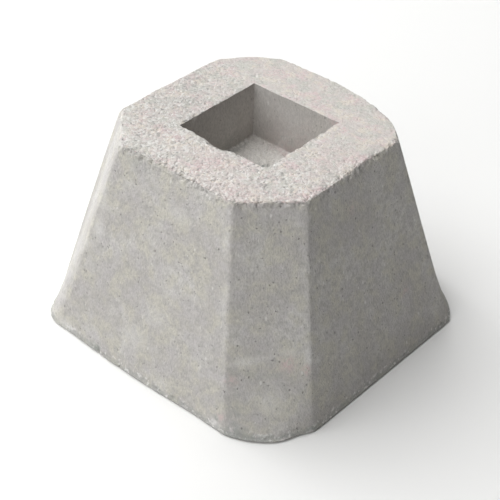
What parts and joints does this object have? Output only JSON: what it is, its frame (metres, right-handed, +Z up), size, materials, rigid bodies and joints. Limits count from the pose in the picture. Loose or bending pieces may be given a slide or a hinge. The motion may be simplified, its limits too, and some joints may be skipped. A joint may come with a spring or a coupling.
{
  "type": "concrete pier block",
  "caption": "Precast concrete pier block, a cut pyramid with chamfered corners and a square socket in its top for the foot of a wooden post.",
  "frame": {"origin": "middle of the underside", "axes": "+Z up, out of the post socket; the four sides face +X, -X, +Y and -Y; the corner in +X and -Y is the one nearest the picture's camera"},
  "size_m": [0.3, 0.2999, 0.195],
  "materials": {
    "concrete": "dry-cast concrete, smooth moulded sides with pinholes, rough open-grained top"
  },
  "bodies": {
    "root": {"pier_block": "concrete"}
  },
  "joints": []
}
